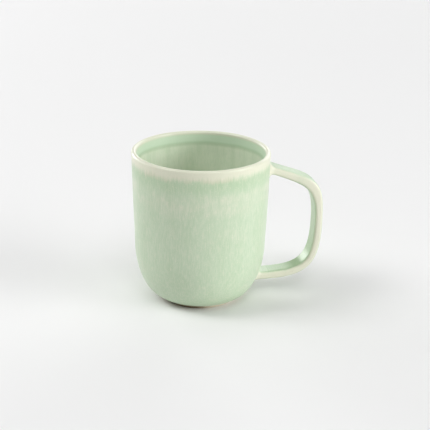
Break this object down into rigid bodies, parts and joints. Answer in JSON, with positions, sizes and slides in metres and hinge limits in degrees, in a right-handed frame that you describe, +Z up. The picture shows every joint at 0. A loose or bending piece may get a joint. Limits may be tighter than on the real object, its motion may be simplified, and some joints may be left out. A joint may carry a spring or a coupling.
{
  "type": "ceramic mug",
  "caption": "Handmade stoneware mug with a slightly flared straight wall, a rounded bottom on a low foot ring, a D-shaped strap handle and a mint glaze.",
  "frame": {"origin": "on the surface the mug stands on, under the middle of its bounding box; the cup's own axis is at x = -0.01745 m", "axes": "+X from the cup towards the handle, +Z up out of the cup, and XZ is the mug's plane of symmetry"},
  "size_m": [0.12, 0.085, 0.0952],
  "materials": {
    "bare_stoneware": "unglazed fired clay, fine matt grain",
    "clay_slip": "fired slip, matt",
    "mint_glaze": "satin reactive glaze, streaked and clouded, breaking cream on the lip and edges",
    "liner_glaze": "glossier pooled liner glaze"
  },
  "bodies": {
    "root": {"cup_body": "bare_stoneware", "handle": "bare_stoneware", "upper_slip_fillet": "clay_slip", "lower_slip_fillet": "clay_slip", "outer_glaze": "mint_glaze", "inner_glaze": "liner_glaze", "handle_glaze": "mint_glaze"}
  },
  "joints": []
}
